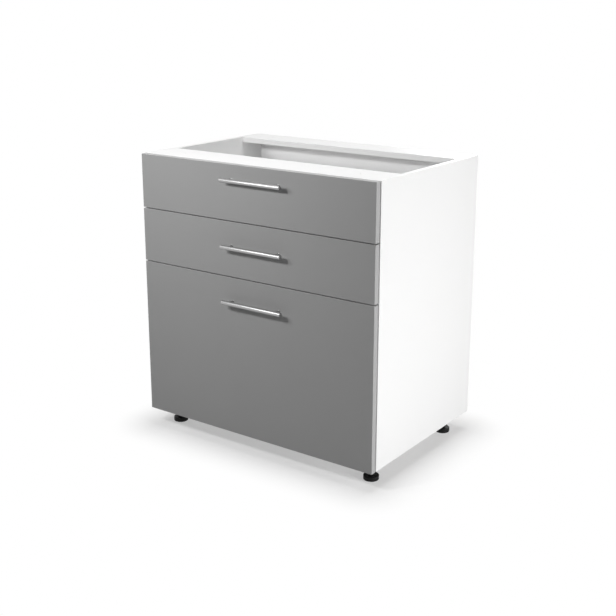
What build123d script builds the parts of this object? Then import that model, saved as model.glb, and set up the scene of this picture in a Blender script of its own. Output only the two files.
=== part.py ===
from build123d import *
import math
import os

# Kitchen base cabinet with two shallow drawers over one deep drawer, in millimetres.
# X runs along the width, the fronts face -Y, and Z is up from the floor.
# The origin lies on the floor under the middle of the whole cabinet, handles included.

# Carcass boards
carcass_width = 800
side_depth = 518
carcass_height = 779
board = 16
back_board = 3
board_edge_radius = 0.5
front_rail_depth = 118
rear_rail_depth = 96
foot_height = 57  # from the floor to the underside of the carcass

# Drawer fronts
front_thickness = 18
front_gap = 1  # between a front and the edge of the carcass
side_reveal = 2  # each front is this much narrower than the carcass on either side
top_reveal = 0.5
front_overhang = 2  # the lowest front reaches this far below the carcass
front_spacing = 3
shallow_front_height = 155.5
front_edge_radius = 1.0

# Bar handles
handle_length = 204
handle_centres = 160
handle_bar_radius = 6
handle_post_radius = 4
handle_projection = 28
handle_offset = 14  # from the middle of the front to the middle of the handle
handle_end_chamfer = 0.8
top_handle_drop = 41.5  # from the top edge of the front to the bar
lower_handle_drop = 68.5
handle_screw_radius = 2.0
handle_screw_head_radius = 4.0
handle_screw_head_height = 2.6
handle_screw_bite = 8  # how far the screw enters the post
handle_hole_clearance = 0.25

# Wood screws, all with the same shank and pan head
screw_radius = 1.75
screw_head_radius = 3.4
screw_head_height = 1.8
screw_bite = 12  # how far a screw enters its board
screw_fit = 0.05  # radial room round a shank in its hole
screw_end_room = 0.5  # empty depth past the tip
recess_width = 0.8
recess_share = 0.6  # the cross recess takes this share of the head

# Cam fittings and dowels that hold the boards together
cam_radius = 7.4
cam_height = 12.3
cam_room = 0.1
cam_inset = 34  # from the end of the board to the middle of the cam
cam_foot_room = 18  # between a foot socket's flange and the cam beside it
cam_slot_room = 0.3
cam_cross_width = 1.4
cam_cross_depth = 2.5
bolt_radius = 3.0
bolt_head_radius = 3.3
bolt_head_length = 3.0
bolt_neck_radius = 2.0
bolt_neck_length = 3.5
bolt_thread_radius = 2.5
bolt_thread_length = 11
bolt_hole_radius = 4.0
dowel_radius = 4.0
dowel_length = 30
dowel_in_side = 12
dowel_chamfer = 0.8
dowel_pitch = 32  # from a cam to the dowel beside it, along the board's end
rail_pair_pitch = 40  # the same on a rail, centred on it

# Screws that hold the thin back board, sunk flush
back_screw_radius = 1.4
back_screw_head_radius = 2.8
back_screw_head_height = 1.2
back_screw_bite = 13
back_screw_corner = 60  # from the carcass corners to the first screw
back_screws_per_side = 4
back_screws_per_board = 3
back_reveal = 2  # the back board is this much smaller all round

# Screw holes in the top rails for a worktop
worktop_hole_radius = 2.5
worktop_hole_spacing = 600

# Runner channels, screwed to the sides
steel = 1.2
roller_radius = 11
roller_width = 7
roller_room = 0.3  # between a roller and its track
channel_reach = 11.5  # how far the channel's flanges stand in from the side
runner_setback = 3
runner_rear_room = 15
shallow_runner_rise = 12  # from the lower edge of a front to its runner
deep_runner_rise = 33
front_roller_inset = 16
upper_flange_start = 30
rear_roller_inset = 14
stop_overlap = 91  # distance between the two rollers when the drawer is right out
stop_height = 3
stop_length = 4
runner_screw_head_radius = 3.4
runner_screw_end_distance = 45
runner_screws_per_channel = 3

# Roller pins
pin_radius = 2.5
pin_fit = 0.05
pin_head_radius = 4
pin_head_thickness = 0.8
pin_side_room = 0.3
roller_dish_depth = 0.8
roller_dish_radius = 8.5
roller_hub_radius = 5

# Sheet-steel drawer sides
side_gap = 13.0  # from the side of the carcass to the wall of the drawer
shallow_side_height = 60
deep_side_height = 150
wall_drop = 3  # the wall's lower edge stands this far above the channel's
track_lift = 0.5  # from the top of the channel to the drawer's running flange
track_reach = 11
track_lip = 4
base_flange_reach = 16
hem_width = 9
hem_lip = 5
rear_tab_reach = 16
rear_tab_top_room = 4
board_fit = 0.3  # side play of the base and back boards
base_front_room = 1
back_top_room = 2
base_screws_per_side = 3
base_screw_end_distance = 60
rear_screw_inset = 12  # from the upper and lower edges of the rear tab

# Brackets that carry the fronts
bracket_length = 40
bracket_track_room = 1
bracket_hem_room = 1.5
bracket_side_room = 1.5
bracket_screw_inset = 6.5
front_screw_bite = 12

# Gallery rods of the deep drawer
gallery_rod_radius = 5
gallery_rise = 70  # above the drawer side
gallery_offset = 9.5  # from the side of the carcass to the rod
gallery_cap_radius = 8
gallery_cap_length = 12
gallery_socket_depth = 8
gallery_spigot_radius = 4
gallery_spigot_length = 9
gallery_post_length = 12
gallery_post_width = 10
gallery_fit = 0.05

# Soft bumpers on the edges of the carcass
bumper_radius = 4
bumper_thickness = 0.9
bumper_corner = 14  # from the upper and lower edges of a front

# Levelling feet
foot_from_side = 51
foot_from_front = 57
foot_from_back = 61
pad_radius = 21.7
pad_height = 13
pad_lower_radius = 2.5
pad_upper_radius = 1.5
spindle_radius = 5
spindle_fit = 0.05
spindle_top_room = 3
collar_radius = 9.8
collar_height = 7.7
collar_pad_room = 0.1
collar_socket_room = 0.3
tail_radius = 4.0
tail_fit = 0.1
snap_radius = 5.0
snap_height = 2.5
snap_room = 0.3
snap_ledge = 6.5  # height of the ledge inside the pad that the snap head catches
socket_radius = 14.5
socket_flange_radius = 27
socket_flange_thickness = 4
socket_rib_thickness = 2
socket_rib_height = 14
socket_screw_circle = 21
socket_screw_bite = 11

# Places along the depth
total_depth = handle_projection + front_thickness + front_gap + side_depth + back_board
face_y = -total_depth / 2 + handle_projection
front_back_y = face_y + front_thickness
carcass_front_y = front_back_y + front_gap
carcass_back_y = carcass_front_y + side_depth
rear_y = carcass_back_y + back_board
bar_y = -total_depth / 2 + handle_bar_radius

# Places along the width and height
outer_x = carcass_width / 2
inner_x = outer_x - board
carcass_bottom_z = foot_height
carcass_top_z = carcass_bottom_z + carcass_height
front_half_width = outer_x - side_reveal
front_bottom_z = carcass_bottom_z - front_overhang
front_top_z = carcass_top_z - top_reveal
front_stack = front_top_z - front_bottom_z
deep_front_height = front_stack - 2 * (shallow_front_height + front_spacing)

# The runners and the drawer sides have the same length
runner_front_y = carcass_front_y + runner_setback
runner_length = side_depth - runner_setback - runner_rear_room
runner_back_y = runner_front_y + runner_length
drawer_back_y = front_back_y + runner_length
track_inner_height = 2 * (roller_radius + roller_room)
channel_height = track_inner_height + 2 * steel
rear_roller_height = steel + roller_room + roller_radius
track_height = channel_height + track_lift
front_roller_height = track_height - roller_room - roller_radius
front_roller_y = runner_front_y + front_roller_inset
rear_roller_y = drawer_back_y - rear_roller_inset
drawer_travel = rear_roller_y - front_roller_y - stop_overlap
roller_middle = (channel_reach + steel) / 2 + roller_room * 2
wall_outer = side_gap
wall_inner = side_gap + steel


class Drawer:
    """Heights that differ from one drawer to the next."""

    def __init__(self, name, bottom_z, height, runner_rise, side_height, handle_drop):
        self.name = name
        self.bottom_z = bottom_z
        self.top_z = bottom_z + height
        self.handle_z = self.top_z - handle_drop
        self.runner_z = bottom_z + runner_rise
        self.wall_bottom_z = self.runner_z + wall_drop
        self.wall_top_z = self.wall_bottom_z + side_height
        self.track_z = self.runner_z + track_height
        self.base_z = self.wall_bottom_z + steel
        self.floor_z = self.base_z + board
        self.bracket_z = (
            self.track_z + track_lip + bracket_track_room,
            self.wall_top_z - hem_lip - bracket_hem_room,
        )
        self.tab_z = (self.floor_z + rear_tab_top_room, self.wall_top_z - rear_tab_top_room)


middle_bottom_z = front_bottom_z + deep_front_height + front_spacing
top_bottom_z = middle_bottom_z + shallow_front_height + front_spacing
deep_drawer = Drawer("deep", front_bottom_z, deep_front_height, deep_runner_rise,
                     deep_side_height, lower_handle_drop)
middle_drawer = Drawer("middle", middle_bottom_z, shallow_front_height, shallow_runner_rise,
                       shallow_side_height, lower_handle_drop)
top_drawer = Drawer("top", top_bottom_z, shallow_front_height, shallow_runner_rise,
                    shallow_side_height, top_handle_drop)
drawers = [top_drawer, middle_drawer, deep_drawer]
sides = {"left": -1, "right": 1}


def block(x_span, y_span, z_span):
    """Rectangular solid between pairs of coordinates, given in either order."""
    spans = (x_span, y_span, z_span)
    middle = [(low + high) / 2 for low, high in spans]
    size = [abs(high - low) for low, high in spans]
    return Pos(*middle) * Box(*size)


def rod(start, direction, radius, length):
    """Round bar that runs from a start point along a direction."""
    base = (Align.CENTER, Align.CENTER, Align.MIN)
    return Plane(origin=start, z_dir=direction) * Cylinder(radius, length, align=base)


def edged_block(x_span, y_span, z_span, radius):
    """Board whose twelve edges are slightly rounded."""
    solid = block(x_span, y_span, z_span)
    return fillet(solid.edges(), radius)


def evenly(low, high, count):
    """Places spread evenly from low to high, both included."""
    return [low + (high - low) * step / (count - 1) for step in range(count)]


def save(name, *solids):
    """Write one node, as one solid or as a group of separate ones."""
    shape = solids[0] if len(solids) == 1 else Compound(children=list(solids))
    export_step(shape, f"parts/{name}.step")


def cross_recess(head_radius, head_height):
    """Cross that is cut into the outer face of a screw head, which lies below z = 0."""
    arm = 2 * head_radius * recess_share
    depth = head_height * recess_share
    low_z = -head_height
    along = Pos(0, 0, low_z) * Box(arm, recess_width, 2 * depth)
    across = Pos(0, 0, low_z) * Box(recess_width, arm, 2 * depth)
    return along + across


def pan_screw(seat, direction, length, radius=None, head_radius=None, head_height=None):
    """Screw whose head stands on the seat and whose shank runs along the direction."""
    radius = radius or screw_radius
    head_radius = head_radius or screw_head_radius
    head_height = head_height or screw_head_height
    shank = rod((0, 0, 0), (0, 0, 1), radius, length)
    head = rod((0, 0, 0), (0, 0, -1), head_radius, head_height)
    body = shank + head - cross_recess(head_radius, head_height)
    return Plane(origin=seat, z_dir=direction) * body


def flush_screw(seat, direction, head_radius, head_height, radius, bite):
    """Screw whose head is sunk below the seat, with its shank past it."""
    head = rod((0, 0, 0), (0, 0, 1), head_radius, head_height)
    shank = rod((0, 0, head_height), (0, 0, 1), radius, bite)
    recess = Pos(0, 0, head_height) * cross_recess(head_radius, head_height)
    return Plane(origin=seat, z_dir=direction) * (head + shank - recess)


# ---- joints between the boards ----


def bottom_cam_ys():
    """Places of the cams along the ends of the bottom panel, clear of the foot sockets."""
    from_foot = socket_flange_radius + cam_foot_room + cam_radius
    front_y = carcass_front_y + foot_from_front + from_foot
    return [front_y, carcass_back_y - foot_from_back - from_foot]


def rail_middle_y(depth, at_front):
    """Middle of a top rail along the depth."""
    return carcass_front_y + depth / 2 if at_front else carcass_back_y - depth / 2


def board_fixings():
    """Every cam and dowel on one side, as (cam y, dowel y, middle height)."""
    low_z = carcass_bottom_z + board / 2
    high_z = carcass_top_z - board / 2
    front_cam_y, back_cam_y = bottom_cam_ys()
    fixings = [
        (front_cam_y, front_cam_y + dowel_pitch, low_z),
        (back_cam_y, back_cam_y - dowel_pitch, low_z),
    ]
    for depth, at_front in ((front_rail_depth, True), (rear_rail_depth, False)):
        middle = rail_middle_y(depth, at_front)
        half = rail_pair_pitch / 2
        fixings.append((middle - half, middle + half, high_z))
    return fixings


def cam_bolt(side, y, z):
    """Steel bolt that is screwed into a side and reaches into the cam."""
    face = side * inner_x
    inward = (-side, 0, 0)
    thread = rod((face, y, z), (side, 0, 0), bolt_thread_radius, bolt_thread_length)
    head_end = cam_inset + bolt_head_length / 2
    shank_length = head_end - bolt_head_length - bolt_neck_length
    shank = rod((face, y, z), inward, bolt_radius, shank_length)
    neck_x = face - side * shank_length
    neck = rod((neck_x, y, z), inward, bolt_neck_radius, bolt_neck_length)
    head_x = neck_x - side * bolt_neck_length
    head = rod((head_x, y, z), inward, bolt_head_radius, bolt_head_length)
    return thread + shank + neck + head


def cam_housing(side, y, z):
    """Cam that turns in the underside of a board and pulls the bolt in."""
    x = side * (inner_x - cam_inset)
    low_z = z - board / 2
    drum = rod((x, y, low_z), (0, 0, 1), cam_radius, cam_height)
    half = bolt_head_radius + cam_slot_room
    mouth_start = x - side * (bolt_head_length / 2 + cam_slot_room)
    mouth_end = x + side * (cam_radius + cam_slot_room)
    mouth = block((mouth_start, mouth_end), (y - half, y + half), (z - half, z + half))
    arm = cam_radius * recess_share
    slot_z = (low_z - cam_cross_depth, low_z + cam_cross_depth)
    half_slot = cam_cross_width / 2
    along = block((x - arm, x + arm), (y - half_slot, y + half_slot), slot_z)
    across = block((x - half_slot, x + half_slot), (y - arm, y + arm), slot_z)
    return drum - mouth - along - across


def dowel(side, y, z):
    """Grooved beech dowel between a side and a board."""
    start = side * (inner_x + dowel_in_side)
    pin = rod((start, y, z), (-side, 0, 0), dowel_radius, dowel_length)
    ends = pin.edges().filter_by(GeomType.CIRCLE)
    return chamfer(ends, dowel_chamfer)


def side_fixing_holes(side):
    """Holes in the inner face of a side for the bolts and dowels."""
    holes = []
    outward = (side, 0, 0)
    face = side * inner_x
    for cam_y, dowel_y, z in board_fixings():
        thread_room = bolt_thread_length + screw_end_room
        holes.append(rod((face, cam_y, z), outward, bolt_thread_radius + screw_fit, thread_room))
        dowel_room = dowel_in_side + screw_end_room
        holes.append(rod((face, dowel_y, z), outward, dowel_radius + screw_fit, dowel_room))
    return holes


def board_fixing_holes(chosen):
    """Holes in both ends of a board, and in its underside, for the chosen fixings."""
    holes = []
    for side in sides.values():
        face = side * inner_x
        inward = (-side, 0, 0)
        cam_x = side * (inner_x - cam_inset)
        for cam_y, dowel_y, z in chosen:
            low_z = z - board / 2
            pocket_height = cam_height + cam_room
            holes.append(rod((cam_x, cam_y, low_z), (0, 0, 1), cam_radius + cam_room, pocket_height))
            holes.append(rod((face, cam_y, z), inward, bolt_hole_radius, cam_inset))
            depth = dowel_length - dowel_in_side + screw_end_room
            holes.append(rod((face, dowel_y, z), inward, dowel_radius + screw_fit, depth))
    return holes


# ---- the thin back board ----


def back_screw_places():
    """Screws round the back board, as (x, z) on the rear faces of the carcass."""
    low_z = carcass_bottom_z + back_screw_corner
    high_z = carcass_top_z - back_screw_corner
    edge_x = outer_x - board / 2
    places = [(side * edge_x, z) for side in sides.values()
              for z in evenly(low_z, high_z, back_screws_per_side)]
    board_x = inner_x - back_screw_corner
    for z in (carcass_bottom_z + board / 2, carcass_top_z - board / 2):
        places += [(x, z) for x in evenly(-board_x, board_x, back_screws_per_board)]
    return places


def back_screw_holes():
    """Holes that the screws of the back board make in the carcass."""
    radius = back_screw_radius + screw_fit
    bite = back_screw_bite + screw_end_room
    return [rod((x, carcass_back_y, z), (0, -1, 0), radius, bite) for x, z in back_screw_places()]


def make_back_panel():
    x_edge = outer_x - back_reveal
    z_span = (carcass_bottom_z + back_reveal, carcass_top_z - back_reveal)
    panel = block((-x_edge, x_edge), (carcass_back_y, rear_y), z_span)
    for x, z in back_screw_places():
        panel -= rod((x, rear_y, z), (0, -1, 0), back_screw_head_radius + screw_fit,
                     back_screw_head_height)
        panel -= rod((x, rear_y, z), (0, -1, 0), back_screw_radius + screw_fit, back_board)
    return panel


def make_back_screws():
    bite = back_screw_bite + back_board - back_screw_head_height
    return [flush_screw((x, rear_y, z), (0, -1, 0), back_screw_head_radius,
                        back_screw_head_height, back_screw_radius, bite)
            for x, z in back_screw_places()]


# ---- carcass boards ----


def runner_screw_places(drawer):
    """Runner screws of one drawer, as (y, z) on the inner face of a side."""
    first = runner_front_y + runner_screw_end_distance
    last = runner_back_y - runner_screw_end_distance
    z = drawer.runner_z + channel_height / 2
    return [(y, z) for y in evenly(first, last, runner_screws_per_channel)]


def make_side_panel(side):
    z_span = (carcass_bottom_z, carcass_top_z)
    x_span = (side * inner_x, side * outer_x)
    panel = edged_block(x_span, (carcass_front_y, carcass_back_y), z_span, board_edge_radius)
    for hole in side_fixing_holes(side):
        panel -= hole
    for drawer in drawers:
        for y, z in runner_screw_places(drawer):
            depth = screw_bite + screw_end_room
            panel -= rod((side * inner_x, y, z), (side, 0, 0), screw_radius + screw_fit, depth)
    for hole in back_screw_holes():
        panel -= hole
    return panel


def make_bottom_panel():
    z_span = (carcass_bottom_z, carcass_bottom_z + board)
    panel = edged_block((-inner_x, inner_x), (carcass_front_y, carcass_back_y), z_span,
                        board_edge_radius)
    for hole in board_fixing_holes(board_fixings()[:2]):
        panel -= hole
    for hole in back_screw_holes():
        panel -= hole
    for x, y in foot_places().values():
        for place in socket_screw_places(x, y):
            bite = socket_screw_bite + screw_end_room
            panel -= rod((*place, carcass_bottom_z), (0, 0, 1), screw_radius + screw_fit, bite)
    return panel


def make_top_rail(depth, at_front, fixing):
    """Flat rail between the sides, level with their tops."""
    if at_front:
        y_span = (carcass_front_y, carcass_front_y + depth)
    else:
        y_span = (carcass_back_y - depth, carcass_back_y)
    z_span = (carcass_top_z - board, carcass_top_z)
    rail = edged_block((-inner_x, inner_x), y_span, z_span, board_edge_radius)
    for hole in board_fixing_holes([fixing]):
        rail -= hole
    if not at_front:
        for hole in back_screw_holes():
            rail -= hole
    for side in sides.values():
        x = side * worktop_hole_spacing / 2
        y = rail_middle_y(depth, at_front)
        rail -= rod((x, y, carcass_top_z), (0, 0, -1), worktop_hole_radius, board)
    return rail


# ---- levelling feet ----


def foot_places():
    """Middle of each foot on the plan."""
    x = outer_x - foot_from_side
    front_y = carcass_front_y + foot_from_front
    back_y = carcass_back_y - foot_from_back
    return {
        "front_left": (-x, front_y),
        "front_right": (x, front_y),
        "back_left": (-x, back_y),
        "back_right": (x, back_y),
    }


def socket_screw_places(x, y):
    """Four screws round a foot socket, on the diagonals."""
    reach = socket_screw_circle / math.sqrt(2)
    return [(x + dx * reach, y + dy * reach) for dx in (-1, 1) for dy in (-1, 1)]


collar_bottom_z = pad_height + collar_pad_room
collar_top_z = collar_bottom_z + collar_height
socket_bottom_z = collar_top_z + collar_socket_room
spindle_top_z = carcass_bottom_z - spindle_top_room - screw_end_room


def make_socket(x, y):
    """Plastic socket with a flange under the bottom panel and a bored sleeve."""
    flange_z = carcass_bottom_z - socket_flange_thickness
    flange = rod((x, y, flange_z), (0, 0, 1), socket_flange_radius, socket_flange_thickness)
    sleeve_length = flange_z - socket_bottom_z
    sleeve = rod((x, y, socket_bottom_z), (0, 0, 1), socket_radius, sleeve_length)
    socket = flange + sleeve
    half = socket_rib_thickness / 2
    reach = socket_flange_radius - socket_rib_thickness
    rib_z = (flange_z - socket_rib_height, flange_z)
    rib = Polyline((socket_radius - half, 0), (reach, 0), (socket_radius - half, rib_z[0] - rib_z[1]),
                   close=True)
    profile = make_face(Plane.XZ * rib)
    web = extrude(profile, half, both=True)
    for turn in range(4):
        socket += Pos(x, y, flange_z) * Rot(0, 0, 90 * turn) * web
    bore_top = spindle_top_z + screw_end_room
    bore = rod((x, y, socket_bottom_z), (0, 0, 1), spindle_radius + spindle_fit,
               bore_top - socket_bottom_z)
    socket -= bore
    for place in socket_screw_places(x, y):
        socket -= rod((*place, flange_z), (0, 0, 1), screw_radius + screw_fit,
                      socket_flange_thickness)
    return socket


def make_socket_screws(x, y):
    seat_z = carcass_bottom_z - socket_flange_thickness
    length = socket_flange_thickness + socket_screw_bite
    return [pan_screw((*place, seat_z), (0, 0, 1), length) for place in socket_screw_places(x, y)]


def make_pad(x, y):
    """Round pad with a stepped bore that the spindle snaps into."""
    pad = rod((x, y, 0), (0, 0, 1), pad_radius, pad_height)
    rims = pad.edges().filter_by(GeomType.CIRCLE).sort_by(Axis.Z)
    pad = fillet(rims[0], pad_lower_radius)
    upper = pad.edges().filter_by(GeomType.CIRCLE).sort_by(Axis.Z)[-1]
    pad = fillet(upper, pad_upper_radius)
    pad -= rod((x, y, 0), (0, 0, 1), tail_radius + tail_fit, pad_height)
    pad -= rod((x, y, 0), (0, 0, 1), snap_radius + snap_room, snap_ledge)
    return pad


def make_spindle(x, y):
    """Threaded spindle with a hexagon to turn it and a snap head inside the pad."""
    thread = rod((x, y, collar_top_z), (0, 0, 1), spindle_radius, spindle_top_z - collar_top_z)
    hexagon = extrude(RegularPolygon(collar_radius, 6), collar_height)
    collar = Pos(x, y, collar_bottom_z) * hexagon
    snap_top = snap_ledge - snap_room
    tail = rod((x, y, snap_top), (0, 0, 1), tail_radius, collar_bottom_z - snap_top)
    snap = rod((x, y, snap_top - snap_height), (0, 0, 1), snap_radius, snap_height)
    return thread + collar + tail + snap


# ---- runners ----


def inset_x(side, distance):
    """X at a distance inwards from the inner face of a side."""
    return side * (inner_x - distance)


def roller_faces():
    """Distances of a roller's two faces from the side of the carcass."""
    return roller_middle - roller_width / 2, roller_middle + roller_width / 2


def make_channel(side, drawer):
    """Runner channel with its roller pin, its screw holes and the stop for the drawer's roller."""
    z = drawer.runner_z
    top_z = z + channel_height
    y_span = (runner_front_y, runner_back_y)
    reach = inset_x(side, channel_reach)
    face = inset_x(side, 0)
    web_face = inset_x(side, steel)
    channel = block((face, web_face), y_span, (z, top_z))
    channel += block((face, reach), y_span, (z, z + steel))
    upper_y = (runner_front_y + upper_flange_start, runner_back_y)
    channel += block((face, reach), upper_y, (top_z - steel, top_z))
    channel += block((web_face, reach), stop_y_span(), (z + steel, z + steel + stop_height))
    near, far = roller_faces()
    pin_z = z + front_roller_height
    boss_end = near - pin_side_room
    channel += rod((web_face, front_roller_y, pin_z), (-side, 0, 0), pin_head_radius,
                   boss_end - steel)
    pin_end = far + pin_side_room
    channel += rod((web_face, front_roller_y, pin_z), (-side, 0, 0), pin_radius,
                   pin_end - steel)
    channel += rod((inset_x(side, pin_end), front_roller_y, pin_z), (-side, 0, 0),
                   pin_head_radius, pin_head_thickness)
    for y, screw_z in runner_screw_places(drawer):
        channel -= rod((web_face, y, screw_z), (side, 0, 0),
                       runner_screw_head_radius + screw_fit, steel)
    return channel


def stop_y_span():
    """The stop stands just in front of the drawer's roller when the drawer is right out."""
    centre_height = roller_radius + roller_room
    half_chord = math.sqrt(roller_radius ** 2 - (centre_height - stop_height) ** 2)
    stopped_y = rear_roller_y - drawer_travel
    rear_edge = stopped_y - half_chord - roller_room
    return rear_edge - stop_length, rear_edge


def make_runner_screws(side, drawer):
    return [flush_screw((inset_x(side, steel), y, z), (side, 0, 0), runner_screw_head_radius,
                        steel, screw_radius, screw_bite)
            for y, z in runner_screw_places(drawer)]


def make_roller(side, y, z):
    """Nylon wheel with a dished face round its hub."""
    near, far = roller_faces()
    outward = (side, 0, 0)
    inner_face = (inset_x(side, far), y, z)
    wheel = rod(inner_face, outward, roller_radius, roller_width)
    dish = rod(inner_face, outward, roller_dish_radius, roller_dish_depth)
    dish -= rod(inner_face, outward, roller_hub_radius, roller_dish_depth)
    wheel -= dish
    wheel -= Pos(side * (roller_width - roller_dish_depth), 0, 0) * dish
    return wheel - rod(inner_face, outward, pin_radius + pin_fit, roller_width)


# ---- drawers ----


def make_drawer_side(side, drawer):
    """Folded steel side: base flange, wall, running flange, rolled top and rear tab."""
    y_span = (front_back_y, drawer_back_y)
    outer = inset_x(side, wall_outer)
    inner = inset_x(side, wall_inner)
    low_z = drawer.wall_bottom_z
    top_z = drawer.wall_top_z
    wall = block((outer, inner), y_span, (low_z, top_z))
    base_edge = inset_x(side, wall_outer + base_flange_reach)
    wall += block((outer, base_edge), y_span, (low_z, low_z + steel))
    track_edge = inset_x(side, wall_outer - track_reach)
    track_lip_x = inset_x(side, wall_outer - track_reach + steel)
    wall += block((inner, track_edge), y_span, (drawer.track_z, drawer.track_z + steel))
    wall += block((track_edge, track_lip_x), y_span, (drawer.track_z, drawer.track_z + track_lip))
    hem_edge = inset_x(side, wall_outer - hem_width)
    hem_lip_x = inset_x(side, wall_outer - hem_width + steel)
    wall += block((inner, hem_edge), y_span, (top_z - steel, top_z))
    wall += block((hem_edge, hem_lip_x), y_span, (top_z - hem_lip, top_z))
    tab_edge = inset_x(side, wall_outer + rear_tab_reach)
    wall += block((outer, tab_edge), (drawer_back_y - steel, drawer_back_y), drawer.tab_z)
    wall += roller_pin(side, drawer)
    for x, y in base_screw_places(side):
        wall -= rod((x, y, low_z), (0, 0, 1), screw_radius + screw_fit, steel)
    for x, z in rear_screw_places(side, drawer):
        wall -= rod((x, drawer_back_y, z), (0, -1, 0), screw_radius + screw_fit, steel)
    for y, z in side_rivet_places(drawer):
        wall -= rod((outer, y, z), (-side, 0, 0), screw_radius + screw_fit, steel)
    return wall


def roller_pin(side, drawer):
    """Pin on the drawer's wall that carries its rear roller."""
    near, far = roller_faces()
    start = inset_x(side, wall_outer)
    z = drawer.runner_z + rear_roller_height
    outward = (side, 0, 0)
    boss = rod((start, rear_roller_y, z), outward, pin_head_radius,
               wall_outer - far - pin_side_room)
    pin_end = near - pin_side_room
    pin = rod((start, rear_roller_y, z), outward, pin_radius, wall_outer - pin_end)
    head = rod((inset_x(side, pin_end), rear_roller_y, z), outward, pin_head_radius,
               pin_head_thickness)
    return boss + pin + head


def base_screw_places(side):
    """Screws that hold the base from below, as (x, y)."""
    x = inset_x(side, wall_inner + (base_flange_reach - steel) / 2)
    first = front_back_y + base_screw_end_distance
    last = drawer_back_y - base_screw_end_distance
    return [(x, y) for y in evenly(first, last, base_screws_per_side)]


def rear_screw_places(side, drawer):
    """Screws that hold the back board through the rear tab, as (x, z)."""
    x = inset_x(side, wall_inner + (rear_tab_reach - steel) / 2)
    low_z, high_z = drawer.tab_z
    return [(x, low_z + rear_screw_inset), (x, high_z - rear_screw_inset)]


def side_rivet_places(drawer):
    """Screws that join a front bracket to the wall of the drawer, as (y, z)."""
    low_z, high_z = drawer.bracket_z
    y = front_back_y + bracket_length - bracket_screw_inset
    return [(y, low_z + bracket_screw_inset), (y, high_z - bracket_screw_inset)]


def front_screw_places(side, drawer):
    """Screws that join a front bracket to the front, as (x, z)."""
    x = inset_x(side, (bracket_side_room + wall_outer - steel) / 2)
    low_z, high_z = drawer.bracket_z
    return [(x, low_z + bracket_screw_inset), (x, high_z - bracket_screw_inset)]


def make_drawer_base(drawer):
    half = inner_x - wall_inner - board_fit
    y_span = (front_back_y + base_front_room, drawer_back_y - steel)
    base = block((-half, half), y_span, (drawer.base_z, drawer.floor_z))
    for side in sides.values():
        for x, y in base_screw_places(side):
            depth = screw_bite + screw_end_room
            base -= rod((x, y, drawer.base_z), (0, 0, 1), screw_radius + screw_fit, depth)
    return base


def make_drawer_back(drawer):
    half = inner_x - wall_inner - board_fit
    y_span = (drawer_back_y - steel - board, drawer_back_y - steel)
    top_z = drawer.wall_top_z - back_top_room
    back = block((-half, half), y_span, (drawer.floor_z, top_z))
    for side in sides.values():
        for x, z in rear_screw_places(side, drawer):
            depth = screw_bite + screw_end_room
            back -= rod((x, y_span[1], z), (0, -1, 0), screw_radius + screw_fit, depth)
    return back


def make_drawer_screws(drawer):
    """All the wood screws of one drawer: base, back and front brackets."""
    screws = []
    for side in sides.values():
        for x, y in base_screw_places(side):
            seat = (x, y, drawer.wall_bottom_z)
            screws.append(pan_screw(seat, (0, 0, 1), steel + screw_bite))
        for x, z in rear_screw_places(side, drawer):
            screws.append(pan_screw((x, drawer_back_y, z), (0, -1, 0), steel + screw_bite))
        for x, z in front_screw_places(side, drawer):
            seat = (x, front_back_y + steel, z)
            screws.append(pan_screw(seat, (0, -1, 0), steel + front_screw_bite))
        for y, z in side_rivet_places(drawer):
            seat = (inset_x(side, wall_outer - steel), y, z)
            screws.append(pan_screw(seat, (-side, 0, 0), 2 * steel))
    return screws


def make_front_bracket(side, drawer):
    """Angle that carries the front on the outer face of the drawer's wall."""
    wall_face = inset_x(side, wall_outer)
    leg_face = inset_x(side, wall_outer - steel)
    edge = inset_x(side, bracket_side_room)
    y_span = (front_back_y, front_back_y + bracket_length)
    leg = block((wall_face, leg_face), y_span, drawer.bracket_z)
    plate = block((wall_face, edge), (front_back_y, front_back_y + steel), drawer.bracket_z)
    bracket = leg + plate
    for x, z in front_screw_places(side, drawer):
        bracket -= rod((x, front_back_y + steel, z), (0, -1, 0), screw_radius + screw_fit, steel)
    for y, z in side_rivet_places(drawer):
        bracket -= rod((leg_face, y, z), (-side, 0, 0), screw_radius + screw_fit, steel)
    return bracket


def handle_post_xs():
    """Middles of the two posts of a handle."""
    return [handle_offset + side * handle_centres / 2 for side in sides.values()]


def make_front_panel(drawer):
    """Grey front with holes for the handle and for its brackets."""
    panel = edged_block((-front_half_width, front_half_width), (face_y, front_back_y),
                        (drawer.bottom_z, drawer.top_z), front_edge_radius)
    hole_radius = handle_screw_radius + handle_hole_clearance
    for x in handle_post_xs():
        panel -= rod((x, front_back_y, drawer.handle_z), (0, -1, 0), hole_radius, front_thickness)
    for side in sides.values():
        for x, z in front_screw_places(side, drawer):
            depth = front_screw_bite + screw_end_room
            panel -= rod((x, front_back_y, z), (0, -1, 0), screw_radius + screw_fit, depth)
        if drawer is deep_drawer:
            x, z = gallery_place(side)
            depth = gallery_spigot_length + screw_end_room
            radius = gallery_spigot_radius + gallery_fit
            panel -= rod((x, front_back_y, z), (0, -1, 0), radius, depth)
    return panel


def make_handle(drawer):
    """Bar on two posts, which are threaded for the handle screws."""
    z = drawer.handle_z
    start_x = handle_offset - handle_length / 2
    bar = rod((start_x, bar_y, z), (1, 0, 0), handle_bar_radius, handle_length)
    bar = chamfer(bar.edges().filter_by(GeomType.CIRCLE), handle_end_chamfer)
    for x in handle_post_xs():
        bar += rod((x, face_y, z), (0, -1, 0), handle_post_radius, face_y - bar_y)
    for x in handle_post_xs():
        depth = handle_screw_bite + screw_end_room
        bar -= rod((x, face_y, z), (0, -1, 0), handle_screw_radius + screw_fit, depth)
    return bar


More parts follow.
